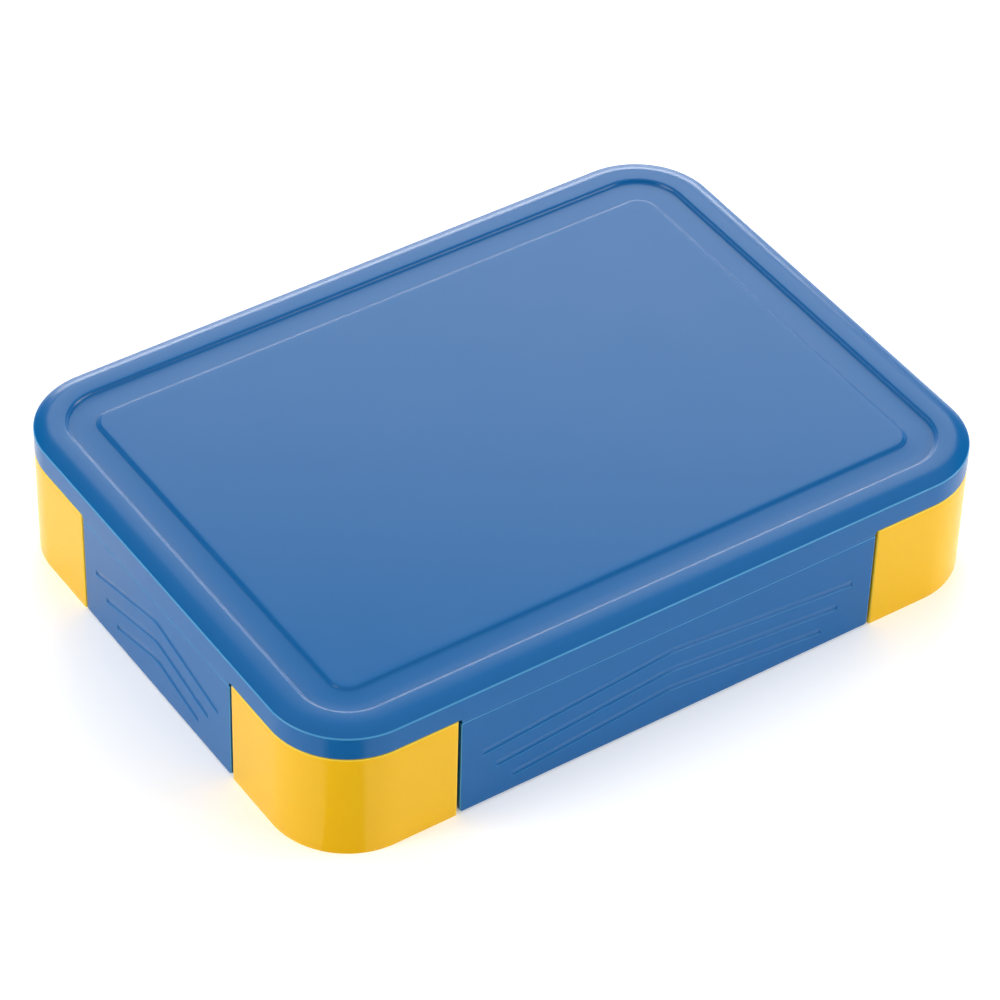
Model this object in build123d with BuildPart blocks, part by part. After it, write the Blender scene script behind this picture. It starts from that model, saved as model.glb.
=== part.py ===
"""Bento lunch box: a moulded base, a lift-out compartment tray and a sealed lid with four snap flaps.

Millimetres, +Z up. The origin is the middle of the footprint, on the surface that the box stands on.
X runs along the long sides, and the front is the long side at -Y. In every wall section, the first
coordinate is the distance inwards from the box's outer side face, and the second is the height.
"""

import os
from math import atan2, cos, degrees, radians, sin

from build123d import *

# Overall size
box_length = 240.0
box_width = 178.0
box_height = 47.0
corner_radius = 25.5
wall = 1.8

# Heights of the joints between the pieces
ledge_top = 37.6
skirt_bottom = 38.0
rim_top = 41.5
tray_top = 43.0

# Lid
edge_radius = 0.9
edge_turn = 66.0
crown_width = 5.5
rim_width = 9.2
channel_wall = 1.8
channel_depth = 1.1
plateau_start = 18.6
plateau_wall = 1.7
plateau_rise = 0.7
lid_ring_width = 22.0
groove_roof = box_height - 1.9
valley_underside = box_height - channel_depth - wall
plateau_underside = valley_underside + plateau_rise
seal_rib_inset = 9.0
seal_rib_width = 1.4
seal_rib_bottom = 43.4

# Silicone seal
seal_side_gap = 0.1
seal_base_thickness = 1.1
seal_bulb_inset = 4.2
seal_bulb_width = 1.8
seal_bottom = 43.15

# Flaps and their film hinges
flap_bottom = 0.8
flap_top = 36.2
flap_gap = 0.9
hinge_gap = 1.0
film_thickness = 0.35
film_inset = 0.075
bead_reach = 1.2
bead_top = 12.1
bead_bottom = 9.4
bead_share = 0.72
catch_underside = 12.5
catch_height = 1.8
catch_reach = 2.0
flap_corner_radius = 1.2
flap_edge_radius = 0.3

# Chevron grips: three shallow grooves on each flap
grip_band = 2.2
grip_depth = 0.5

# Base
floor_thickness = 2.2
pocket_depth = 4.2
ledge_thickness = 1.6
rim_inset = 3.3
foot_width = 12.0
foot_height = 0.6
base_foot_radius = 0.5
mouth_radius = 0.6
pocket_radius = 0.8
ledge_radius = 0.4
rim_radius = 0.6

# Tray
tray_inset = 6.8
tray_wall = 1.8
tray_bottom = 3.2
tray_foot_radius = 5.5
flange_inset = 3.3
tray_floor = 1.6
tray_draft = 1.5
divider = 2.4
back_row_depth = 88.0
main_compartment_length = 132.0
compartment_radius = 6.0
compartment_floor_radius = 2.5
compartment_lip_radius = 0.5
compartment_draft = 2.0

front = Plane(origin=(0, -box_width / 2, 0), x_dir=(1, 0, 0), z_dir=(0, -1, 0))
back = Plane(origin=(0, box_width / 2, 0), x_dir=(-1, 0, 0), z_dir=(0, 1, 0))
left = Plane(origin=(-box_length / 2, 0, 0), x_dir=(0, -1, 0), z_dir=(-1, 0, 0))
right = Plane(origin=(box_length / 2, 0, 0), x_dir=(0, 1, 0), z_dir=(1, 0, 0))

# Half the width of each side's pocket in the base. Its grips have a peak height and a half length,
# and fall from the peak towards both ends by a fixed share of the length.
long_side = {"pocket": 73.7, "grips": ((26.2, 65.5), (18.7, 60.5), (11.2, 55.0)), "fall": 0.097}
short_side = {"pocket": 42.2, "grips": ((28.0, 34.6), (20.1, 28.8), (12.5, 23.0)), "fall": 0.245}
sides = {
    "front": (front, long_side),
    "back": (back, long_side),
    "left": (left, short_side),
    "right": (right, short_side),
}


def section_plane(side):
    """The upright plane across the middle of a side: x is the distance inwards, y is the height."""
    return Plane(origin=side.origin, x_dir=-side.z_dir, z_dir=side.x_dir)


def rounded_outline(inset, mode=Mode.ADD):
    """The box's outline in plan, moved inwards by inset."""
    return RectangleRounded(
        box_length - 2 * inset, box_width - 2 * inset, corner_radius - inset, mode=mode
    )


def smooth_step(start, width, rise):
    """Two equal tangent arcs that carry a level line up or down over a given width."""
    turn = 2 * degrees(atan2(abs(rise), width))
    radius = width / 2 / sin(radians(turn))
    way = 1 if rise > 0 else -1
    first = JernArc(start=start, tangent=(1, 0), radius=radius, arc_size=way * turn)
    return JernArc(start=first @ 1, tangent=first % 1, radius=radius, arc_size=-way * turn)


def finish(piece, name):
    """Labels a finished piece and writes it as its own STEP file."""
    piece.part.label = name
    export_step(piece.part, f"parts/{name}.step")


os.makedirs("parts", exist_ok=True)

# The path that ring-shaped sections follow, from the middle of the front side and round to it again
with BuildLine() as outline_path:
    for way in (1, -1):
        FilletPolyline(
            (0, -way * box_width / 2),
            (way * box_length / 2, -way * box_width / 2),
            (way * box_length / 2, way * box_width / 2),
            (0, way * box_width / 2),
            radius=corner_radius,
        )

# Base box: a thin shell whose four sides step inwards to make room for the flaps
with BuildPart() as base_box:
    with BuildSketch() as base_plan:
        rounded_outline(0)
        for side, shape in sides.values():
            with Locations((side.origin.X, side.origin.Y)):
                Rectangle(
                    2 * (shape["pocket"] if side.x_dir.X else pocket_depth),
                    2 * (pocket_depth if side.x_dir.X else shape["pocket"]),
                    mode=Mode.SUBTRACT,
                )
        mouths = [
            v
            for v in base_plan.vertices()
            if abs(abs(v.X) - box_length / 2) < 0.01 and abs(v.Y) < short_side["pocket"] + 1
            or abs(abs(v.Y) - box_width / 2) < 0.01 and abs(v.X) < long_side["pocket"] + 1
        ]
        fillet(mouths, mouth_radius)
        pocket_corners = [
            v
            for v in base_plan.vertices()
            if abs(abs(v.X) - box_length / 2 + pocket_depth) < 0.01
            or abs(abs(v.Y) - box_width / 2 + pocket_depth) < 0.01
        ]
        fillet(pocket_corners, pocket_radius)
    extrude(amount=ledge_top)
    fillet(base_box.edges().group_by(Axis.Z)[0], base_foot_radius)
    fillet(base_box.edges().group_by(Axis.Z)[-1], ledge_radius)
    # The hollow, with one wall thickness all round
    with BuildSketch(Plane.XY.offset(floor_thickness)):
        offset(base_plan.sketch, -wall)
    extrude(amount=ledge_top - ledge_thickness - floor_thickness, mode=Mode.SUBTRACT)
    with BuildSketch(Plane.XY.offset(ledge_top - ledge_thickness)):
        rounded_outline(pocket_depth + wall)
    extrude(amount=ledge_thickness, mode=Mode.SUBTRACT)
    # The upright rim that the tray hangs on and the lid fits round
    with BuildSketch(Plane.XY.offset(ledge_top - ledge_thickness)):
        rounded_outline(rim_inset)
        rounded_outline(rim_inset + wall, Mode.SUBTRACT)
    extrude(amount=rim_top - ledge_top + ledge_thickness)
    fillet(base_box.edges().group_by(Axis.Z)[-1], rim_radius)
    # Catches that the flaps' beads snap under
    for side, shape in sides.values():
        with BuildSketch(section_plane(side)):
            with BuildLine():
                Polyline(
                    (pocket_depth + 0.5, catch_underside),
                    (pocket_depth - catch_reach, catch_underside),
                    (pocket_depth - catch_reach, catch_underside + 0.4 * catch_height),
                    (pocket_depth, catch_underside + catch_height),
                    (pocket_depth + 0.5, catch_underside + catch_height),
                    close=True,
                )
            make_face()
        extrude(amount=shape["pocket"] * bead_share, both=True)
    # The underside is hollowed a little, so that the box stands on a band round its edge
    with BuildSketch():
        rounded_outline(foot_width)
    extrude(amount=foot_height, mode=Mode.SUBTRACT)
finish(base_box, "base_box")

# Compartment tray: a flange that hangs on the base's rim, and five tapered compartments
compartment_top = tray_inset + tray_wall
inner_length = box_length - 2 * compartment_top
inner_width = box_width - 2 * compartment_top
front_row_depth = inner_width - back_row_depth - divider
side_compartment_length = inner_length - main_compartment_length - divider
small_compartment_length = (inner_length - 2 * divider) / 3
back_row_y = inner_width / 2 - back_row_depth / 2
front_row_y = front_row_depth / 2 - inner_width / 2
small_step = small_compartment_length + divider
compartments = [
    ((main_compartment_length - inner_length) / 2, back_row_y, main_compartment_length, back_row_depth),
    ((inner_length - side_compartment_length) / 2, back_row_y, side_compartment_length, back_row_depth),
]
for step in (-small_step, 0, small_step):
    compartments.append((step, front_row_y, small_compartment_length, front_row_depth))

with BuildPart() as compartment_tray:
    with BuildSketch(Plane.XY.offset(rim_top)):
        rounded_outline(tray_inset)
    extrude(amount=tray_bottom - rim_top, taper=tray_draft)
    fillet(compartment_tray.edges().group_by(Axis.Z)[0], tray_foot_radius)
    with BuildSketch(Plane.XY.offset(rim_top)):
        rounded_outline(flange_inset)
    extrude(amount=tray_top - rim_top)
    for x, y, length, depth in compartments:
        with BuildSketch(Plane.XY.offset(tray_top)):
            with Locations((x, y)):
                RectangleRounded(length, depth, compartment_radius)
            rounded_outline(compartment_top, Mode.INTERSECT)
        extrude(amount=tray_bottom + tray_floor - tray_top, taper=compartment_draft, mode=Mode.SUBTRACT)
        fillet(compartment_tray.edges(Select.LAST).group_by(Axis.Z)[0], compartment_floor_radius)
    fillet(compartment_tray.edges().group_by(Axis.Z)[-1], compartment_lip_radius)
finish(compartment_tray, "compartment_tray")

# Lid: one section swept round the outline, closed by the middle panel
crown_turn = 90 - edge_turn
crown_radius = (crown_width - edge_radius * (1 - cos(radians(edge_turn)))) / sin(radians(crown_turn))
crown_drop = crown_radius * (1 - cos(radians(crown_turn)))
edge_start = box_height - crown_drop - edge_radius * sin(radians(edge_turn))

with BuildPart() as lid_shell:
    with BuildSketch(section_plane(front)):
        with BuildLine():
            Line((0, skirt_bottom), (0, edge_start))
            edge = JernArc(start=(0, edge_start), tangent=(0, 1), radius=edge_radius, arc_size=-edge_turn)
            crown = JernArc(start=edge @ 1, tangent=edge % 1, radius=crown_radius, arc_size=-crown_turn)
            Line(crown @ 1, (rim_width, box_height))
            channel = smooth_step((rim_width, box_height), channel_wall, -channel_depth)
            Line(channel @ 1, (plateau_start, box_height - channel_depth))
            rise = smooth_step((plateau_start, box_height - channel_depth), plateau_wall, plateau_rise)
            panel_edge = Line(rise @ 1, (lid_ring_width, box_height - channel_depth + plateau_rise))
            Line(panel_edge @ 1, (lid_ring_width, plateau_underside))
            under = smooth_step((plateau_start, valley_underside), plateau_wall, plateau_rise)
            Line((lid_ring_width, plateau_underside), under @ 1)
            Polyline(
                (plateau_start, valley_underside),
                (seal_rib_inset + seal_rib_width, valley_underside),
                (seal_rib_inset + seal_rib_width, seal_rib_bottom),
                (seal_rib_inset, seal_rib_bottom),
                (seal_rib_inset, groove_roof),
                (wall, groove_roof),
                (wall, skirt_bottom),
                (0, skirt_bottom),
            )
        make_face()
    sweep(path=outline_path.wires()[0])
    with BuildSketch(Plane.XY.offset(plateau_underside)):
        rounded_outline(lid_ring_width - 0.5)
    extrude(amount=wall)
    # Above each flap the skirt reaches down to the hinge
    for side, shape in sides.values():
        with BuildSketch(section_plane(side)):
            with Locations((wall / 2, (flap_top + hinge_gap + skirt_bottom + 0.5) / 2)):
                Rectangle(wall, skirt_bottom + 0.5 - flap_top - hinge_gap)
        extrude(amount=shape["pocket"] - flap_gap, both=True)
finish(lid_shell, "lid_shell")

# Seal: a soft ring in the lid's groove, with a round bead that presses on the tray's flange
with BuildPart() as lid_seal:
    with BuildSketch(section_plane(front)):
        seal_width = seal_rib_inset - wall - 2 * seal_side_gap
        seal_top = groove_roof - seal_side_gap
        with Locations(((wall + seal_rib_inset) / 2, seal_top - seal_base_thickness / 2)):
            Rectangle(seal_width, seal_base_thickness)
        with Locations((seal_bulb_inset, seal_bottom + seal_bulb_width / 2)):
            Circle(seal_bulb_width / 2)
    sweep(path=outline_path.wires()[0])
finish(lid_seal, "lid_seal")

# Flaps and hinge films: each flap is a plate with a snap bead inside and three grips outside
for name, (side, shape) in sides.items():
    half_width = shape["pocket"] - flap_gap
    with BuildPart() as flap:
        with BuildSketch(side) as flap_face:
            with Locations((0, (flap_bottom + flap_top) / 2)):
                Rectangle(2 * half_width, flap_top - flap_bottom)
            fillet(flap_face.vertices().group_by(Axis.Y)[0], flap_corner_radius)
        extrude(amount=-wall)
        fillet(flap.faces().sort_by(Axis(side.origin, side.z_dir))[-1].edges(), flap_edge_radius)
        with BuildSketch(section_plane(side)):
            with BuildLine():
                Polyline(
                    (wall - 0.3, bead_top),
                    (wall + bead_reach - 0.3, bead_top),
                    (wall + bead_reach, bead_top - 0.5),
                    (wall + bead_reach, bead_bottom + 1),
                    (wall, bead_bottom),
                    (wall - 0.3, bead_bottom),
                    close=True,
                )
            make_face()
        extrude(amount=half_width * bead_share, both=True)
        for peak, half_length in shape["grips"]:
            for way in (-1, 1):
                run = side.x_dir * way - Vector(0, 0, shape["fall"])
                with BuildSketch(section_plane(side)):
                    with BuildLine():
                        Polyline(
                            (-0.2 * grip_depth, peak),
                            (grip_depth, peak),
                            (-0.2 * grip_depth, peak + 1.2 * grip_band),
                            close=True,
                        )
                    make_face()
                extrude(amount=half_length * run.length, dir=run, mode=Mode.SUBTRACT)
    finish(flap, f"{name}_flap")

    with BuildPart() as film:
        with BuildSketch(section_plane(side)):
            with Locations((film_inset + film_thickness / 2, flap_top + hinge_gap / 2)):
                Rectangle(film_thickness, hinge_gap)
        extrude(amount=half_width - flap_edge_radius, both=True)
    finish(film, f"{name}_hinge_film")
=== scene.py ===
from math import cos, pi, radians, sin

import bmesh
import bpy
import numpy as np
from mathutils import Matrix, Vector


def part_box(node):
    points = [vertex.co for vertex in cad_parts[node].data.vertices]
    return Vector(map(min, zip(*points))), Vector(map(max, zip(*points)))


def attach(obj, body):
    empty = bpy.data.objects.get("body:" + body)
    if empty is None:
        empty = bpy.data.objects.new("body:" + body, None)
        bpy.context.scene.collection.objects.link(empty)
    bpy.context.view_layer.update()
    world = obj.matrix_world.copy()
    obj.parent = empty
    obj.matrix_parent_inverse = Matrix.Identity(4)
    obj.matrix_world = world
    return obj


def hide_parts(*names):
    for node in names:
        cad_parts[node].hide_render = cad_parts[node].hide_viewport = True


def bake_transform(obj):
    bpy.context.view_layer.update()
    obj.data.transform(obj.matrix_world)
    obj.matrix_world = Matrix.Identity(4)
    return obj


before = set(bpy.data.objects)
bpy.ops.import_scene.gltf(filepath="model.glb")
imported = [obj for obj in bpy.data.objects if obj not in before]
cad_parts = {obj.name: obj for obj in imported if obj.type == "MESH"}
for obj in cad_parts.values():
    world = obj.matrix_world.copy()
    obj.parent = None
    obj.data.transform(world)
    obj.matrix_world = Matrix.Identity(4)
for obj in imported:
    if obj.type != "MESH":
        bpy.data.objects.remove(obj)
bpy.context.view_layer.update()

# ---------------------------------------------------------------------------------------------
# The stand: the box lies shut on a white table under soft studio light, seen from above its
# near left corner.
# ---------------------------------------------------------------------------------------------
# Sizes of pieces are in millimetres, and the frame is in metres.
MM = 0.001
box_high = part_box("lid_shell")[1]

view_azimuth, view_elevation, view_roll = radians(-34.93), radians(41.80), radians(1.747)
view_distance = 1.341
aim = Vector((0, 0, 0.0231))
back = Vector((
    sin(view_azimuth) * cos(view_elevation),
    -cos(view_azimuth) * cos(view_elevation),
    sin(view_elevation),
))
right = (-back).cross(Vector((0, 0, 1))).normalized()
up = right.cross(-back)
rolled_right = right * cos(view_roll) + up * sin(view_roll)
rolled_up = up * cos(view_roll) - right * sin(view_roll)
camera = bpy.data.objects.new("camera", bpy.data.cameras.new("camera"))
camera.matrix_world = Matrix.Translation(aim + back * view_distance) @ Matrix(
    (rolled_right, rolled_up, back)
).transposed().to_4x4()
camera.data.sensor_width = 36
camera.data.lens = 160.45
camera.data.shift_x = -0.0004
camera.data.shift_y = -0.0128
camera.data.dof.use_dof = False
bpy.context.collection.objects.link(camera)
bpy.context.scene.camera = camera
bpy.context.scene.view_settings.view_transform = "Standard"
LIGHT_AIM = Vector((0, 0, 0.03))


def softbox(name, place, width, height, power):
    """A soft rectangular light that faces the middle of the box, unseen by the camera."""
    data = bpy.data.lights.new(name, "AREA")
    data.shape = "RECTANGLE"
    data.size, data.size_y, data.energy = width, height, power
    light = bpy.data.objects.new(name, data)
    turn = (LIGHT_AIM - Vector(place)).to_track_quat("-Z", "Y")
    light.matrix_world = Matrix.Translation(place) @ turn.to_matrix().to_4x4()
    light.visible_camera = False
    bpy.context.collection.objects.link(light)


softbox("backdrop_glow", (1.09, 1.55, 1.48), 1.4, 0.5, 10)
softbox("low_backdrop_glow", (1.20, 1.91, 0.82), 1.6, 0.3, 24)
softbox("left_softbox", (-1.88, 0.16, 1.48), 0.8, 0.6, 15)
softbox("left_strip", (-2.18, 0.58, 0.82), 0.8, 0.4, 14)
softbox("rear_left_strip", (-1.62, 1.57, 0.82), 0.8, 0.4, 5)
softbox("front_right_strip", (1.26, -1.87, 0.82), 0.8, 0.4, 13)
softbox("right_strip", (1.95, -1.13, 0.82), 0.8, 0.4, 22)

# The ways straight from the camera over the box, and across its view.
FORWARD = Vector((0.574, 0.819, 0))
ACROSS = Vector((-0.819, 0.574, 0))

world = bpy.data.worlds.new("studio")
world.use_nodes = True
bpy.context.scene.world = world
world_tree = world.node_tree


def set_inputs(node, values):
    """Sets a node's sockets from a dictionary of their names and values."""
    for name, value in values.items():
        node.inputs[name].default_value = value


def smooth_step(value, low, high, start, end):
    """A value of the world's nodes turned smoothly from start, at low, to end, at high."""
    node = world_tree.nodes.new("ShaderNodeMapRange")
    node.interpolation_type = "SMOOTHSTEP"
    set_inputs(node, {"From Min": low, "From Max": high, "To Min": start, "To Max": end})
    world_tree.links.new(value, node.inputs["Value"])
    return node.outputs[0]


# Brightness by the sine of the elevation: a grey horizon, a dark belt and a bright top.
SKY = ((0.12, 0.55), (0.30, 0.04), (0.64, 0.04), (0.84, 0.95))
direction = world_tree.nodes.new("ShaderNodeTexCoord")
height = world_tree.nodes.new("ShaderNodeSeparateXYZ")
sky = world_tree.nodes.new("ShaderNodeValToRGB")
sky.color_ramp.interpolation = "EASE"
stops = sky.color_ramp.elements
stops[0].position, stops[1].position = SKY[0][0], SKY[-1][0]
for share, _ in SKY[1:-1]:
    stops.new(share)
for stop, (_, grey) in zip(stops, SKY):
    stop.color = (grey, grey, grey, 1)
world_tree.links.new(direction.outputs["Generated"], height.inputs[0])
world_tree.links.new(height.outputs["Z"], sky.inputs["Fac"])
world_tree.links.new(sky.outputs[0], world_tree.nodes["Background"].inputs["Color"])

# A white sweep stands behind the box, so the horizon on that side is five times as bright.
behind = world_tree.nodes.new("ShaderNodeVectorMath")
behind.operation = "DOT_PRODUCT"
behind.inputs[1].default_value = FORWARD
world_tree.links.new(direction.outputs["Generated"], behind.inputs[0])
strength = world_tree.nodes.new("ShaderNodeMix")
strength.inputs["A"].default_value = 1.0
sweep = smooth_step(behind.outputs["Value"], 0.3, 0.9, 1.0, 5.0)
near_level = smooth_step(height.outputs["Z"], 0.2, 0.45, 1.0, 0.0)
world_tree.links.new(near_level, strength.inputs["Factor"])
world_tree.links.new(sweep, strength.inputs["B"])
world_tree.links.new(strength.outputs[0], world_tree.nodes["Background"].inputs["Strength"])


def stand_material(name, grey, roughness, light=0.0):
    """One even grey for the stand's things, with white light of its own."""
    material = bpy.data.materials.new(name)
    material.use_nodes = True
    set_inputs(material.node_tree.nodes["Principled BSDF"], {
        "Base Color": (grey, grey, grey, 1),
        "Roughness": roughness,
        "Emission Color": (1, 1, 1, 1),
        "Emission Strength": light,
    })
    return material


# The table is lit from below, as a shooting table is, so shadows on it stay faint.
TABLE_HALF = 6
table = bpy.data.meshes.new("table_top")
table_corners = [(x * TABLE_HALF, y * TABLE_HALF, 0) for x, y in ((-1, -1), (1, -1), (1, 1), (-1, 1))]
table.from_pydata(table_corners, [], [(0, 1, 2, 3)])
table_top = bpy.data.objects.new("table_top", table)
bpy.context.collection.objects.link(table_top)
table.materials.append(stand_material("white_table", 0.98, 0.7, light=0.2))

# A black card on the table in front of the near corner, which only reflections show. It widens
# away from the box.
CARD_OUT, CARD_HALF = (-4, 75), (5, 38)
# The foot of the rounded corner nearest to the camera, just above the table.
near_corner = Vector((-box_high.x + 0.0109, -box_high.y + 0.0046, 0.0004))
card = bpy.data.meshes.new("black_card")
card_corners = [
    near_corner - FORWARD * CARD_OUT[end] * MM + ACROSS * side * CARD_HALF[end] * MM
    for end, side in ((0, -1), (0, 1), (1, 1), (1, -1))
]
card.from_pydata(card_corners, [], [(0, 1, 2, 3)])
black_card = bpy.data.objects.new("black_card", card)
black_card.visible_camera = black_card.visible_diffuse = black_card.visible_shadow = False
bpy.context.collection.objects.link(black_card)
card.materials.append(stand_material("black_card", 0.01, 1.0))

# ---------------------------------------------------------------------------------------------
# Lid: one moulding of blue polypropylene. A skirt goes round the base's rim, a crowned edge turns
# onto a flat rim, and inside it a sunken band goes round a raised middle panel. A double wall
# underneath holds the seal.
# ---------------------------------------------------------------------------------------------
HALF_X, HALF_Y, TOP = box_high.x / MM, box_high.y / MM, box_high.z / MM
CORNER = 25.5
WALL = 1.8
FLAP_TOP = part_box("front_flap")[1].z / MM
HINGE_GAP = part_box("front_hinge_film")[1].z / MM - FLAP_TOP
FLAP_HALF = {
    "front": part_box("front_flap")[1].x / MM,
    "back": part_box("back_flap")[1].x / MM,
    "left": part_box("left_flap")[1].y / MM,
    "right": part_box("right_flap")[1].y / MM,
}
# Each side's outward way and the way along it, counter-clockwise seen from above.
SIDE_WAYS = {
    "front": ((0, -1), (1, 0)),
    "right": ((1, 0), (0, 1)),
    "back": ((0, 1), (-1, 0)),
    "left": ((-1, 0), (0, -1)),
}
CORNER_POINTS = 26
SKIRT_BOTTOM = 38.0
# Above a flap the skirt's lower edge drops a little. The drop starts SKIRT_LEAD above that edge
# and is whole SKIRT_FADE below its start.
SKIRT_LEAD, SKIRT_FADE, SKIRT_EDGE, UNDER_EDGE = 0.9, 0.6, 0.12, 0.3
EDGE_RADIUS, EDGE_TURN, CROWN_WIDTH, RIM_WIDTH = 0.55, radians(66), 5.5, 9.2
CHANNEL_WALL, CHANNEL_DEPTH = 1.8, 1.1
PLATEAU_START, PLATEAU_WALL, PLATEAU_RISE, PANEL_START = 18.6, 1.7, 0.7, 22.0
RIB_INNER, RIB_OUTER, RIB_BOTTOM = 10.4, 9.0, 43.4
GROOVE_ROOF = TOP - 1.9


def arc(centre, radius, start, end, count):
    """Points on a circle: centre plus radius times (cosine, sine) of evenly spaced angles."""
    angle = np.linspace(start, end, count)
    return np.stack([centre[0] + radius * np.cos(angle), centre[1] + radius * np.sin(angle)], 1)


def s_curve(start, width, rise, count=8):
    """Two equal tangent arcs that carry a level line to another level.

    Each arc turns by twice the slope of the chord, so its radius is half the width over the sine."""
    turn = 2 * np.arctan2(abs(rise), width)
    radius = width / 2 / np.sin(turn)
    angle = np.linspace(0, turn, count)
    half = np.stack([radius * np.sin(angle), np.sign(rise) * radius * (1 - np.cos(angle))], 1)
    other = np.array([width, rise]) - half[::-1][1:]
    return np.array(start) + np.concatenate([half, other])


def side_stops(side):
    """Where a side's columns lie: close together at the ends of its flap, wider apart elsewhere."""
    end = FLAP_HALF[side]
    straight = (HALF_X if side in ("front", "back") else HALF_Y) - CORNER
    middle = np.linspace(-end + 1, end - 1, 15)
    flank = [-straight, -(straight + end) / 2, -end - 0.05, -end, -end + 0.3]
    return np.array(flank + list(middle) + [-f for f in flank[::-1]])


def corner_normals(normal):
    """Unit vectors at even angles over the quarter turn that follows a side's normal."""
    angle = np.arctan2(normal[1], normal[0]) + np.linspace(0, pi / 2, CORNER_POINTS + 2)[1:-1]
    return np.stack([np.cos(angle), np.sin(angle)], 1)


def ring_frame():
    """Anchor points and outward normals all round the box, counter-clockwise from the front left.

    An outline that lies inset inwards is anchor + normal * (corner radius - inset). It returns
    the anchors, the normals and, for each, 1 above a flap and 0 elsewhere."""
    anchors, normals, over_flap = [], [], []
    core = np.array([HALF_X - CORNER, HALF_Y - CORNER])
    for side, ways in SIDE_WAYS.items():
        normal, along = np.array(ways, float)
        stops = side_stops(side)
        anchors.append(normal * core + stops[:, None] * along)
        normals.append(np.repeat(normal[None], len(stops), 0))
        over_flap.append(np.abs(stops) <= FLAP_HALF[side])
        turned = corner_normals(normal)
        anchors.append(np.repeat(((normal + along) * core)[None], CORNER_POINTS, 0))
        normals.append(turned)
        over_flap.append(np.zeros(CORNER_POINTS, bool))
    return np.concatenate(anchors), np.concatenate(normals), np.concatenate(over_flap).astype(float)


def shell_mesh(name, rings, first_pole=None, last_pole=None, closed=False):
    """A mesh from rings of points: quads between neighbouring rings, round and round.

    rings is stations x points x 3. A pole closes the first or last ring with triangles to one
    point, and closed joins the last ring back to the first."""
    stations, count = rings.shape[:2]
    index = np.arange(stations * count).reshape(stations, count)
    if closed:
        index = np.concatenate([index, index[:1]])
    a, b = index[:-1], index[1:]
    quads = np.stack([a, np.roll(a, -1, 1), np.roll(b, -1, 1), b], -1).reshape(-1, 4)
    points, faces = [rings.reshape(-1, 3)], quads.tolist()
    for pole, ring, flip in ((first_pole, index[0], True), (last_pole, index[-1], False)):
        if pole is not None:
            tip = np.full(count, sum(len(p) for p in points))
            points.append(np.array(pole, float)[None])
            fan = np.stack([ring, np.roll(ring, -1), tip], 1)
            faces += (fan[:, [1, 0, 2]] if flip else fan).tolist()
    return finished_mesh(name, np.concatenate(points), faces)


def mark_edge_highlights(mesh):
    """Writes the share of a painted edge highlight, from 0 on flats to 1 on outward folds tighter than
    0.5 mm.

    The turn along an edge is its ends' difference of normals, measured along it, over its length.
    A vertex takes the second largest turn around it, which is 0 where a fold meets a flat."""
    place, normal = np.empty(len(mesh.vertices) * 3), np.empty(len(mesh.vertices) * 3)
    mesh.vertices.foreach_get("co", place)
    mesh.vertex_normals.foreach_get("vector", normal)
    place, normal = place.reshape(-1, 3), normal.reshape(-1, 3)
    ends = np.empty(len(mesh.edges) * 2, int)
    mesh.edges.foreach_get("vertices", ends)
    a, b = ends.reshape(-1, 2).T
    step = place[b] - place[a]
    turn = ((normal[b] - normal[a]) * step).sum(1) / np.maximum((step * step).sum(1), 1e-14)
    vertex, turn = np.concatenate([a, b]), np.concatenate([turn, turn])
    order = np.lexsort((turn, vertex))
    last = np.searchsorted(vertex[order], np.arange(len(place)), side="right") - 1
    loose, tight = 1 / MM, 2 / MM
    share = np.clip((turn[order][last - 1] - loose) / (tight - loose), 0, 1)
    mesh.attributes.new("painted_edge_highlight", "FLOAT", "POINT").data.foreach_set("value", share)


def finish_surface(mesh):
    """Shades a mesh smooth except over folds sharper than 32 degrees, and marks where its edges get a
    painted highlight.
    """
    mesh.shade_smooth()
    mesh.set_sharp_from_angle(angle=radians(32))
    mark_edge_highlights(mesh)


def finished_mesh(name, points, faces):
    """An object from points in millimetres and faces."""
    mesh = bpy.data.meshes.new(name)
    mesh.from_pydata((points * MM).tolist(), [], faces)
    mesh.validate()
    finish_surface(mesh)
    piece = bpy.data.objects.new(name, mesh)
    bpy.context.collection.objects.link(piece)
    return piece


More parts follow.
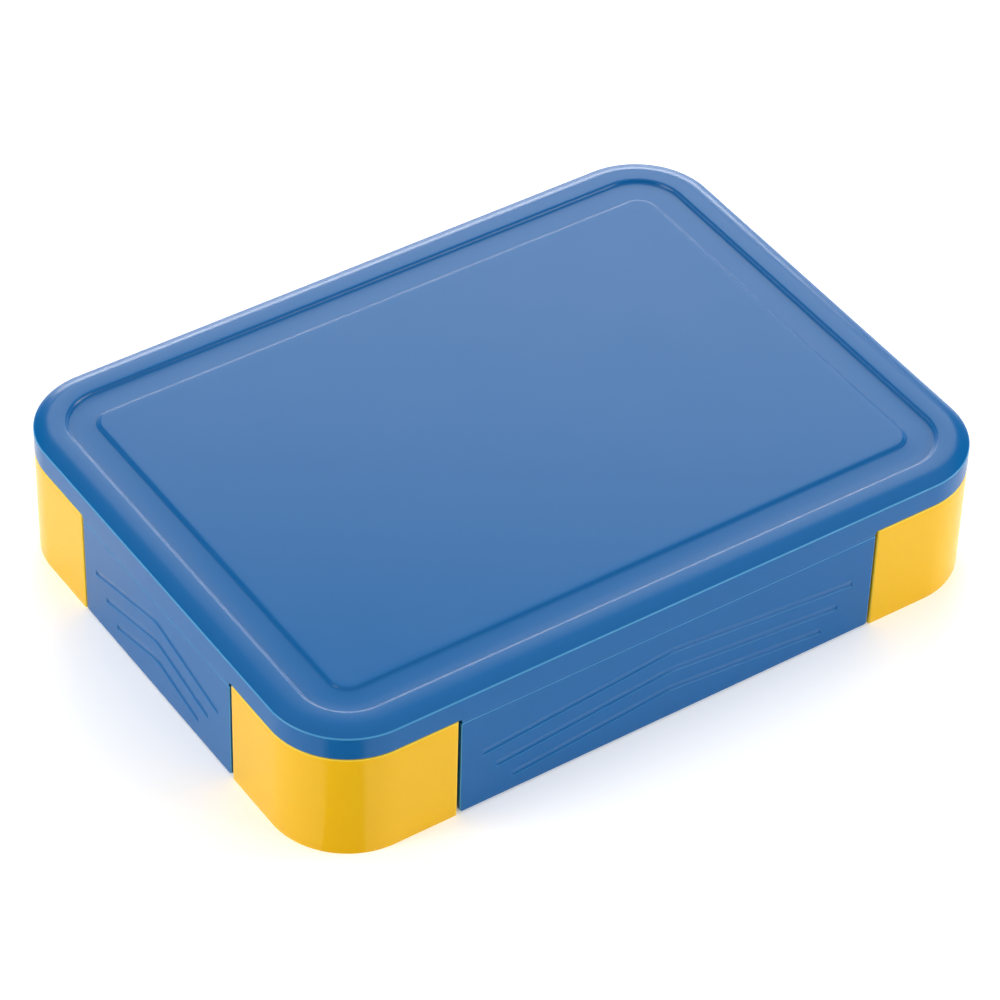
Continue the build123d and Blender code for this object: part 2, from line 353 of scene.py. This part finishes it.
def moulded_plastic(name, colour, roughness, seed, glow=0.06):
    """Satin moulded polypropylene: faint clouds in colour and gloss, a fine spark-eroded grain,
    and a paler tone painted on sharp outward edges as a highlight."""
    material = bpy.data.materials.new(name)
    material.use_nodes = True
    tree = material.node_tree
    shader = tree.nodes["Principled BSDF"]
    place = tree.nodes.new("ShaderNodeTexCoord")

    def noise(scale, detail):
        node = tree.nodes.new("ShaderNodeTexNoise")
        node.noise_dimensions = "4D"
        set_inputs(node, {"W": seed, "Scale": scale, "Detail": detail})
        tree.links.new(place.outputs["Object"], node.inputs["Vector"])
        return node.outputs["Fac"]

    def tone(change):
        return (*[min(1, change(c)) for c in colour], 1)

    # Painted highlight: a paler tone mixed in on sharp outward edges stands in for the thin light lines
    # that lamps draw on them.
    edge_highlight = tree.nodes.new("ShaderNodeAttribute")
    edge_highlight.attribute_name = "painted_edge_highlight"
    highlight_mix = tree.nodes.new("ShaderNodeMix")
    highlight_mix.data_type = "RGBA"
    highlight_mix.inputs["B"].default_value = tone(lambda c: c**0.6 + 0.05)
    clouds = tree.nodes.new("ShaderNodeMix")
    clouds.data_type = "RGBA"
    clouds.inputs["A"].default_value = tone(lambda c: c * 0.985)
    clouds.inputs["B"].default_value = tone(lambda c: c * 1.015)
    tree.links.new(noise(22, 4), clouds.inputs["Factor"])
    tree.links.new(clouds.outputs["Result"], highlight_mix.inputs["A"])
    tree.links.new(edge_highlight.outputs["Fac"], highlight_mix.inputs["Factor"])
    tree.links.new(highlight_mix.outputs["Result"], shader.inputs["Base Color"])
    gloss = tree.nodes.new("ShaderNodeMapRange")
    set_inputs(gloss, {
        "From Min": 0.3,
        "From Max": 0.7,
        "To Min": roughness * 0.94,
        "To Max": roughness * 1.06,
    })
    tree.links.new(noise(60, 2), gloss.inputs["Value"])
    tree.links.new(gloss.outputs[0], shader.inputs["Roughness"])
    grain = tree.nodes.new("ShaderNodeBump")
    set_inputs(grain, {"Strength": 0.03, "Distance": 0.00005})
    tree.links.new(noise(1600, 1), grain.inputs["Height"])
    tree.links.new(grain.outputs[0], shader.inputs["Normal"])
    set_inputs(shader, {
        "IOR": 1.49,
        "Specular IOR Level": 0.24,
        "Subsurface Weight": glow,
        "Subsurface Scale": 0.0015,
    })
    return material


anchors, normals, over_flap = ring_frame()
crown_turn = pi / 2 - EDGE_TURN
crown_radius = (CROWN_WIDTH - EDGE_RADIUS * (1 - cos(EDGE_TURN))) / sin(crown_turn)
edge_start = TOP - crown_radius * (1 - cos(crown_turn)) - EDGE_RADIUS * sin(EDGE_TURN)
valley = TOP - CHANNEL_DEPTH
lid_section = np.concatenate([
    [(PANEL_START, valley + PLATEAU_RISE)],
    s_curve((PLATEAU_START, valley), PLATEAU_WALL, PLATEAU_RISE)[::-1],
    [(RIM_WIDTH + CHANNEL_WALL + 3, valley)],
    s_curve((RIM_WIDTH, TOP), CHANNEL_WALL, -CHANNEL_DEPTH)[::-1],
    arc((CROWN_WIDTH, TOP - crown_radius), crown_radius, pi / 2, pi / 2 + crown_turn, 8),
    arc((EDGE_RADIUS, edge_start), EDGE_RADIUS, pi / 2 + crown_turn, pi, 12)[1:],
    [(0, SKIRT_BOTTOM + lift) for lift in (SKIRT_LEAD, 0.25, SKIRT_EDGE)],
    arc((SKIRT_EDGE, SKIRT_BOTTOM + SKIRT_EDGE), SKIRT_EDGE, pi, 1.5 * pi, 4)[1:],
    arc((WALL - UNDER_EDGE, SKIRT_BOTTOM + UNDER_EDGE), UNDER_EDGE, 1.5 * pi, 2 * pi, 5),
    [(WALL, SKIRT_BOTTOM + SKIRT_LEAD), (WALL, GROOVE_ROOF - UNDER_EDGE)],
    arc((WALL + UNDER_EDGE, GROOVE_ROOF - UNDER_EDGE), UNDER_EDGE, pi, pi / 2, 4)[1:],
    arc((RIB_OUTER - UNDER_EDGE, GROOVE_ROOF - UNDER_EDGE), UNDER_EDGE, pi / 2, 0, 4),
    arc((RIB_OUTER + UNDER_EDGE, RIB_BOTTOM + UNDER_EDGE), UNDER_EDGE, pi, 1.5 * pi, 4),
    arc((RIB_INNER - UNDER_EDGE, RIB_BOTTOM + UNDER_EDGE), UNDER_EDGE, 1.5 * pi, 2 * pi, 4),
    [(RIB_INNER, valley - WALL)],
    s_curve((PLATEAU_START, valley - WALL), PLATEAU_WALL, PLATEAU_RISE),
    [(PANEL_START, valley - WALL + PLATEAU_RISE)],
])


def lid_surface():
    """The lid's section carried round the outline, with its skirt lower above the flaps.

    Height falls by a share of the hinge's allowance: all of it at the skirt's lower edge, none
    from SKIRT_LEAD up. The panel is the section's end ring scaled to the middle in a few steps."""
    inset, height = lid_section[:, 0], lid_section[:, 1]
    flat = anchors[None] + normals[None] * (CORNER - inset)[:, None, None]
    share = np.clip((SKIRT_BOTTOM + SKIRT_LEAD - height) / SKIRT_FADE, 0, 1)
    drop = share * (SKIRT_BOTTOM - FLAP_TOP - HINGE_GAP)
    z = height[:, None] - drop[:, None] * over_flap[None]
    rings = np.concatenate([flat, z[..., None]], -1)
    shares = np.array([0.12, 0.35, 0.6, 0.8, 0.93])[:, None, None]
    top, under = rings[:1] * [1, 1, 0], rings[-1:] * [1, 1, 0]
    panel = top * shares + [0, 0, lid_section[0, 1]]
    panel_under = under * shares[::-1] + [0, 0, lid_section[-1, 1]]
    return np.concatenate([panel, rings, panel_under])


panel_top, panel_under = (0, 0, lid_section[0, 1]), (0, 0, lid_section[-1, 1])
lid = shell_mesh("lid", lid_surface()[::-1], panel_under, panel_top)
BLUE = (0.0015, 0.107, 0.320)
blue_plastic = moulded_plastic("blue_polypropylene", BLUE, 0.23, 1.3)
lid.data.materials.append(blue_plastic)
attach(lid, "lid")
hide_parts("lid_shell")

# ---------------------------------------------------------------------------------------------
# Flaps: one locking flap hangs from the lid on each side, a flat plate of the lid's plastic with
# three shallow chevron grips to pull it by. A bead along its inner face snaps under the base.
# ---------------------------------------------------------------------------------------------
FLAP_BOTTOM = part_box("front_flap")[0].z / MM
FLAP_EDGE, FLAP_BACK_EDGE, FLAP_CORNER = 0.3, 0.15, 1.2
# Steps from an edge inwards, in edge radii: close on the round, wider on the flat behind it.
EDGE_STEPS = np.array([0, 0.05, 0.2, 0.5, 1, 2.2, 4])
GRIP_BAND, GRIP_DEPTH = 2.2, 0.45
LIP_SOFTNESS, END_SOFTNESS, PEAK_SOFTNESS = 0.42, 0.15, 1.2
BEAD_TOP, BEAD_BOTTOM, BEAD_REACH, BEAD_SHARE = 12.1, 9.4, 1.2, 0.72
LONG_GRIPS = {"peaks": (26.2, 18.7, 11.2), "halves": (65.5, 60.5, 55.0), "fall": 0.097}
SHORT_GRIPS = {"peaks": (28.0, 20.1, 12.5), "halves": (34.6, 28.8, 23.0), "fall": 0.245}
SIDES = {
    "front": (Vector((0, -HALF_Y, 0)), Vector((1, 0, 0)), LONG_GRIPS),
    "back": (Vector((0, HALF_Y, 0)), Vector((-1, 0, 0)), LONG_GRIPS),
    "left": (Vector((-HALF_X, 0, 0)), Vector((0, -1, 0)), SHORT_GRIPS),
    "right": (Vector((HALF_X, 0, 0)), Vector((0, 1, 0)), SHORT_GRIPS),
}


def smooth(value, low, high):
    """0 below low, 1 above high, and 3t^2 - 2t^3 between them."""
    t = np.clip((value - low) / (high - low), 0, 1)
    return t * t * (3 - 2 * t)


def on_side(side, along, height, inset):
    """Points in the box's frame from how far along a side, how high and how far inwards they lie."""
    middle, way, _ = SIDES[side]
    inwards = np.array(way.cross(Vector((0, 0, 1)))) * -1
    along, height, inset = np.broadcast_arrays(along, height, inset)
    flat = np.array(middle) + along[..., None] * np.array(way) + inset[..., None] * inwards
    return flat + height[..., None] * np.array([0, 0, 1.0])


def round_corner(along, height, half):
    """Squares turned to quarter discs at the two lower corners: each share is multiplied by
    the root of one less half the other's square."""
    a = np.clip((np.abs(along) - half + FLAP_CORNER) / FLAP_CORNER, 0, 1)
    b = np.clip((FLAP_BOTTOM + FLAP_CORNER - height) / FLAP_CORNER, 0, 1)
    in_corner = (a > 0) & (b > 0)
    new_along = np.sign(along) * (half - FLAP_CORNER + FLAP_CORNER * a * np.sqrt(1 - b * b / 2))
    new_height = FLAP_BOTTOM + FLAP_CORNER - FLAP_CORNER * b * np.sqrt(1 - a * a / 2)
    return np.where(in_corner, new_along, along), np.where(in_corner, new_height, height)


def edge_rounding(along, height, half, radius):
    """How far a face drops at its border: a quarter circle of the radius, a quarter ball at corners."""
    a = np.clip(radius - (half - np.abs(along)), 0, radius)
    b = np.clip(radius - np.minimum(height - FLAP_BOTTOM, FLAP_TOP - height), 0, radius)
    return radius - np.sqrt(np.clip(radius * radius - a * a - b * b, 0, None))


def flap_columns(half, halves):
    """Columns close together at the edges, at the ends of the grips and at their peak."""
    edge = half - FLAP_EDGE * EDGE_STEPS
    end_steps = END_SOFTNESS * np.array([-3, -1, -0.5, 0, 0.5, 1, 3])
    ends = np.concatenate([h + end_steps for h in halves])
    plain = np.linspace(PEAK_SOFTNESS * 3, min(halves) - 3, 12)
    right_side = np.concatenate([edge, ends, plain, [2.2, 1.4, 0.7]])
    return np.unique(np.concatenate([-right_side, [0], right_side]).round(4))


def flap_rows(peaks):
    """Rows close together at the edges and at each grip's two lips."""
    low = FLAP_BOTTOM + FLAP_EDGE * EDGE_STEPS
    high = FLAP_TOP - FLAP_EDGE * EDGE_STEPS
    lip_steps = LIP_SOFTNESS * np.array([-2.5, -1, -0.8, -0.5, -0.2, 0.2, 0.5, 0.8, 1])
    ramp_steps = GRIP_BAND * np.array([0.45, 0.75, 0.94, 1.0, 1.06, 1.3])
    lips = np.concatenate([p + lip_steps for p in peaks])
    ramps = np.concatenate([p + ramp_steps for p in peaks])
    plain = [(a + GRIP_BAND + b) / 2 for a, b in zip(peaks[1:], peaks[:-1])]
    spread = np.array([5.5, 8.2, 31.5, 33.5])
    return np.unique(np.concatenate([low, high, lips, ramps, plain, spread]).round(4))


def flap_surface(side):
    """A closed plate. The front's rows follow the grips: a row's height falls from the peak by a
    fixed share of the distance from the middle. Its inset is a wedge above each lip, deepest at
    the lip, times 1 inside the grip's length and 0 outside. The back's rows are level, and its
    inset is the wall plus the snap bead."""
    grips = SIDES[side][2]
    half = FLAP_HALF[side]
    columns, rows = flap_columns(half, grips["halves"]), flap_rows(grips["peaks"])
    along, level = np.meshgrid(columns, rows)
    lowest, highest = min(grips["peaks"]) - 1, max(grips["peaks"]) + GRIP_BAND + 1
    turns = [FLAP_BOTTOM + FLAP_CORNER, lowest, highest, FLAP_TOP - FLAP_CORNER]
    follow = np.interp(level, turns, [0, 1, 1, 0])
    limit = np.interp(level, grips["peaks"][::-1], np.array(grips["halves"][::-1]) + 1.5)
    reach = np.minimum(np.abs(along), limit)
    reach = np.sqrt(reach**2 + PEAK_SOFTNESS**2) - PEAK_SOFTNESS
    height = level - grips["fall"] * reach * follow
    inset = edge_rounding(along, level, half, FLAP_EDGE)
    for peak, half_length in zip(grips["peaks"], grips["halves"]):
        wedge = np.clip(1 - (level - peak) / GRIP_BAND, 0, 1)
        wedge = wedge * smooth(level, peak - LIP_SOFTNESS, peak + LIP_SOFTNESS)
        end_low, end_high = half_length - END_SOFTNESS, half_length + END_SOFTNESS
        inset = inset + GRIP_DEPTH * wedge * (1 - smooth(np.abs(along), end_low, end_high))
    front_along, front_height = round_corner(along, height, half)
    front = on_side(side, front_along, front_height, inset)

    bead_stops = np.concatenate([
        BEAD_BOTTOM + np.array([-0.2, 0.9]),
        BEAD_TOP + np.array([-0.45, -0.15, 0, 0.1]),
    ])
    bead_inset = WALL + BEAD_REACH * np.array([0, 1, 1, 0.85, 0.6, 0])
    edges = FLAP_EDGE * EDGE_STEPS[:5]
    set_rows = np.concatenate([FLAP_BOTTOM + edges, bead_stops, FLAP_TOP - edges])
    spare = len(rows) - len(set_rows)
    below = spare // 4
    fill = np.concatenate([
        np.linspace(FLAP_BOTTOM + 1, BEAD_BOTTOM - 0.4, below),
        np.linspace(BEAD_TOP + 0.5, FLAP_TOP - 1, spare - below),
    ])
    level = np.repeat(np.sort(np.concatenate([set_rows, fill]))[:, None], len(columns), 1)
    bead_end = half * BEAD_SHARE
    bead = np.interp(level, bead_stops, bead_inset) - WALL
    inset = WALL + bead * (1 - smooth(np.abs(along), bead_end - 2, bead_end))
    inset = inset - edge_rounding(along, level, half, FLAP_BACK_EDGE)
    back_along, back_height = round_corner(along, level, half)
    rear = on_side(side, back_along, back_height, inset)
    return front, rear


def plate_mesh(name, front, rear):
    """A closed mesh of two grids of one size: the front, the rear facing the other way, and a
    strip that joins their borders."""
    rows, columns = front.shape[:2]
    index = np.arange(rows * columns).reshape(rows, columns)
    quads = np.stack([index[:-1, :-1], index[:-1, 1:], index[1:, 1:], index[1:, :-1]], -1)
    quads = quads.reshape(-1, 4)
    border = np.concatenate([index[0, :-1], index[:-1, -1], index[-1, :0:-1], index[:0:-1, 0]])
    shift = rows * columns
    strip = np.stack([np.roll(border, -1), border, border + shift, np.roll(border, -1) + shift], 1)
    faces = np.concatenate([quads, quads[:, ::-1] + shift, strip])
    points = np.concatenate([front.reshape(-1, 3), rear.reshape(-1, 3)])
    return finished_mesh(name, points, faces.tolist())


for side in SIDES:
    flap = plate_mesh(f"{side}_locking_flap", *flap_surface(side))
    flap.data.materials.append(blue_plastic)
    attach(flap, f"{side}_flap_body")
    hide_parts(f"{side}_flap")

# ---------------------------------------------------------------------------------------------
# Hinge films: lid and flap are moulded together, and the plastic between them is thinned to a
# film a third of a millimetre thick, on which the real flap swings open. Here each film is a fixed
# strip.
# ---------------------------------------------------------------------------------------------
FILM_INSET, FILM_THICKNESS, FILM_OVERLAP = 0.075, 0.35, 0.12


def film_surface(side):
    """A strip whose upright section is a flat loop, carried along the hinge and closed at its ends."""
    half = FLAP_HALF[side] - FLAP_EDGE
    rows = np.linspace(FLAP_TOP - FILM_OVERLAP, FLAP_TOP + HINGE_GAP + FILM_OVERLAP, 14)
    along, level = np.meshgrid(np.linspace(-half, half, 13), rows)
    front = on_side(side, along, level, np.full_like(along, FILM_INSET))
    rear = on_side(side, along, level, np.full_like(along, FILM_INSET + FILM_THICKNESS))
    return front, rear


for side, (middle, _, _) in SIDES.items():
    film = plate_mesh(f"{side}_film_hinge", *film_surface(side))
    film.data.materials.append(blue_plastic)
    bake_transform(film)
    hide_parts(f"{side}_hinge_film")

# ---------------------------------------------------------------------------------------------
# Base box: a yellow moulding of one wall thickness. Its four sides step inwards to make room for
# the flaps, so that it shows only at the corners. A rim stands up inside the lid's skirt.
# ---------------------------------------------------------------------------------------------
POCKET, FLAP_GAP = 4.2, 0.9
POCKET_HALF = {side: half + FLAP_GAP for side, half in FLAP_HALF.items()}
MOUTH, HOLLOW = 0.6, 0.8
LEDGE_TOP, LEDGE_THICKNESS, BASE_TOP, RIM_INSET = 37.6, 1.6, 41.5, 3.3
FLOOR, FOOT_BAND, FOOT_RISE = 2.2, 12.0, 0.6
FOOT_EDGE, LEDGE_EDGE, RIM_EDGE, FLOOR_EDGE = 0.5, 0.4, 0.6, 1.2


def stepped_side(pocket_half, straight, offset):
    """Half of a stepped side from its middle to where the corner begins: how far along, how far
    in, and whether it lies in the pocket. offset moves the line into the wall.

    The pocket's floor turns by a hollow quarter circle of radius plus offset onto its end wall,
    and that turns by a quarter circle of radius less offset onto the outer face."""
    floor = np.linspace(0, pocket_half - HOLLOW, 6)[:, None] * [1, 0] + [0, POCKET + offset]
    into = arc((pocket_half - HOLLOW, POCKET - HOLLOW), HOLLOW + offset, pi / 2, 0, 7)[1:]
    mouth_radius = max(MOUTH - offset, 0.02)
    tip = (pocket_half + offset + mouth_radius, offset + mouth_radius)
    out = arc(tip, mouth_radius, pi, 1.5 * pi, 7)
    face = np.linspace(tip[0] + 1, straight, 5)[:, None] * [1, 0] + [0, offset]
    points = np.concatenate([floor, into, out, face])
    in_pocket = np.repeat([1.0, 1.0, 0.0, 0.0], [6, 6, 7, 5])
    return points[:, 0], points[:, 1], in_pocket


def base_outline(offset=None, rim=None):
    """A closed line round the base, counter-clockwise: the stepped outline moved into the wall by
    offset, or the plain rounded outline at inset rim, point for point beside it."""
    xs, ys, pockets = [], [], []
    for side, ways in SIDE_WAYS.items():
        normal, along = np.array(ways, float)
        half_side = HALF_Y if along[0] else HALF_X
        straight = (HALF_X if along[0] else HALF_Y) - CORNER
        run, inset, pocket = stepped_side(POCKET_HALF[side], straight, offset or 0.0)
        if rim is not None:
            inset = np.full_like(run, rim)
        run = np.concatenate([-run[::-1], run[1:]])
        inset = np.concatenate([inset[::-1], inset[1:]])
        pocket = np.concatenate([pocket[::-1], pocket[1:]])
        line = run[:, None] * along + (half_side - inset)[:, None] * normal
        radius = CORNER - (offset if rim is None else rim)
        centre = (normal + along) * [HALF_X - CORNER, HALF_Y - CORNER]
        bend = centre + radius * corner_normals(normal)
        xs += [line[:, 0], bend[:, 0]]
        ys += [line[:, 1], bend[:, 1]]
        pockets += [pocket, np.zeros(CORNER_POINTS)]
    return np.concatenate(xs), np.concatenate(ys), np.concatenate(pockets)


def base_ring(corner_height, pocket_height=None, **line):
    """One ring of the base: its line, at one height at the corners and another in the pockets."""
    x, y, pocket = base_outline(**line)
    if pocket_height is None:
        pocket_height = corner_height
    return np.stack([x, y, corner_height + (pocket_height - corner_height) * pocket], 1)


def rings_on(line, section):
    """Rings at each inset and height of a section, on the stepped line (offset) or the plain (rim)."""
    return [base_ring(z, **{line: inset}) for inset, z in section]


def scaled(ring, shares):
    """A level ring drawn together towards the middle by each share."""
    return [ring * [share, share, 1] for share in shares]


under_ledge = LEDGE_TOP - LEDGE_THICKNESS
rim_bend, floor_bend = BASE_TOP - RIM_EDGE, FLOOR + FLOOR_EDGE
foot_ring = base_ring(FOOT_RISE, rim=FOOT_BAND)
floor_ring = base_ring(FLOOR, rim=POCKET + WALL + FLOOR_EDGE + 0.5)
base_rings = [
    # The raised middle of the underside, the foot band and the outer foot edge.
    *scaled(foot_ring, (0.12, 0.4, 0.75, 0.95)),
    foot_ring,
    base_ring(0.15, rim=FOOT_BAND - 0.15),
    base_ring(0, rim=FOOT_BAND - 0.4),
    base_ring(0, offset=FOOT_EDGE),
    *rings_on("offset", arc((FOOT_EDGE, FOOT_EDGE), FOOT_EDGE, 1.5 * pi, pi, 6)[1:]),
    base_ring(3, offset=0.0),
    base_ring(LEDGE_TOP - 3, offset=0.0),
    # The ledge, whose edge stays lower in the pockets, and the rim that stands on it.
    *[
        base_ring(z, under_ledge - 0.5 + (z - LEDGE_TOP + LEDGE_EDGE) * 0.5 / LEDGE_EDGE, offset=inset)
        for inset, z in arc((LEDGE_EDGE, LEDGE_TOP - LEDGE_EDGE), LEDGE_EDGE, pi, pi / 2, 6)
    ],
    base_ring(LEDGE_TOP, under_ledge, rim=RIM_INSET),
    base_ring(LEDGE_TOP + 0.3, LEDGE_TOP, rim=RIM_INSET),
    *rings_on("rim", arc((RIM_INSET + RIM_EDGE, rim_bend), RIM_EDGE, pi, pi / 2, 6)),
    *rings_on("rim", arc((RIM_INSET + WALL - RIM_EDGE, rim_bend), RIM_EDGE, pi / 2, 0, 6)),
    # The inside, from the rim down to the floor.
    base_ring(LEDGE_TOP, rim=RIM_INSET + WALL),
    base_ring(LEDGE_TOP, rim=POCKET + WALL),
    base_ring(under_ledge, rim=POCKET + WALL),
    base_ring(under_ledge, offset=WALL),
    *rings_on("offset", arc((WALL + FLOOR_EDGE, floor_bend), FLOOR_EDGE, pi, 1.5 * pi, 7)),
    *scaled(floor_ring, (1, 0.97, 0.75, 0.4, 0.12)),
]
base = shell_mesh("base", np.stack(base_rings), (0, 0, FOOT_RISE), (0, 0, FLOOR))
YELLOW = (0.80, 0.452, 0.001)
yellow_plastic = moulded_plastic("yellow_polypropylene", YELLOW, 0.22, 4.1)
base.data.materials.append(yellow_plastic)
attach(base, "base")
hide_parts("base_box")

# ---------------------------------------------------------------------------------------------
# Catches: a rib along each recessed side of the base, moulded with it, for the flap's bead to
# snap under.
# ---------------------------------------------------------------------------------------------
CATCH_LOW, CATCH_HIGH, CATCH_REACH, CATCH_EDGE = 12.5, 14.3, 2.0, 0.15
catch_root, catch_tip = POCKET + 0.4, POCKET - CATCH_REACH
catch_section = np.array([
    (catch_root, CATCH_LOW),
    (catch_tip + CATCH_EDGE, CATCH_LOW),
    (catch_tip, CATCH_LOW + CATCH_EDGE),
    (catch_tip, CATCH_LOW + 0.7),
    (catch_tip + 0.1, CATCH_LOW + 0.9),
    (POCKET, CATCH_HIGH),
    (catch_root, CATCH_HIGH),
])
for side in SIDES:
    end = POCKET_HALF[side] * BEAD_SHARE
    stops = np.array([-end, -end + 0.3, -end + 2, 0, end - 2, end - 0.3, end])
    share = np.array([0.25, 0.7, 1, 1, 1, 0.7, 0.25])[:, None]
    inset = catch_root - (catch_root - catch_section[None, :, 0]) * share
    rings = on_side(side, stops[:, None], catch_section[None, :, 1], inset)
    catch = shell_mesh(f"{side}_catch", rings[:, ::-1], rings[0].mean(0), rings[-1].mean(0))
    catch.data.materials.append(yellow_plastic)
    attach(catch, "base")

# ---------------------------------------------------------------------------------------------
# Compartment tray: a pale blue moulding with five food compartments, hanging in the base from the
# flange that lies on its rim.
# ---------------------------------------------------------------------------------------------
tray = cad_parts["compartment_tray"].copy()
tray.data = tray.data.copy()
tray.name = tray.data.name = "food_tray"
bpy.context.collection.objects.link(tray)
WELD = 0.002 * MM
work = bmesh.new()
work.from_mesh(tray.data)
bmesh.ops.remove_doubles(work, verts=work.verts, dist=WELD)
work.to_mesh(tray.data)
work.free()
finish_surface(tray.data)
tray.data.materials.clear()
PALE_BLUE = (0.55, 0.74, 0.86)
tray.data.materials.append(moulded_plastic("pale_blue_polypropylene", PALE_BLUE, 0.3, 7.7))
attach(tray, "tray")
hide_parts("compartment_tray")

# ---------------------------------------------------------------------------------------------
# Seal: a ring of white silicone pushed into the groove under the lid. Its round bead presses on
# the tray's flange.
# ---------------------------------------------------------------------------------------------
SEAL_TOP, SEAL_BASE, SEAL_OUTER, SEAL_INNER, SEAL_EDGE = 45.0, 43.9, 2.1, 8.7, 0.2
SEAL_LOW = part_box("lid_seal")[0].z / MM
BEAD_MIDDLE, BEAD_RADIUS = 4.2, 0.9
seal_section = np.concatenate([
    arc((SEAL_OUTER, SEAL_TOP - SEAL_EDGE), SEAL_EDGE, pi, pi / 2, 4),
    arc((SEAL_INNER, SEAL_TOP - SEAL_EDGE), SEAL_EDGE, pi / 2, 0, 4),
    arc((SEAL_INNER, SEAL_BASE + SEAL_EDGE), SEAL_EDGE, 0, -pi / 2, 4),
    [(BEAD_MIDDLE + 2, SEAL_BASE)],
    arc((BEAD_MIDDLE, SEAL_LOW + BEAD_RADIUS), BEAD_RADIUS, -0.15, -pi + 0.15, 12),
    [(BEAD_MIDDLE - 1.3, SEAL_BASE)],
    arc((SEAL_OUTER, SEAL_BASE + SEAL_EDGE), SEAL_EDGE, -pi / 2, -pi, 4),
])
flat = anchors[None] + normals[None] * (CORNER - seal_section[:, 0])[:, None, None]
level = np.broadcast_to(seal_section[:, 1][:, None, None], (*flat.shape[:2], 1))
seal_rings = np.concatenate([flat, level], -1)
seal = shell_mesh("silicone_seal", seal_rings, closed=True)
SILICONE = (0.80, 0.81, 0.80)
seal.data.materials.append(moulded_plastic("white_silicone", SILICONE, 0.5, 9.2, glow=0.3))
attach(seal, "lid")
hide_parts("lid_seal")

bpy.context.view_layer.update()
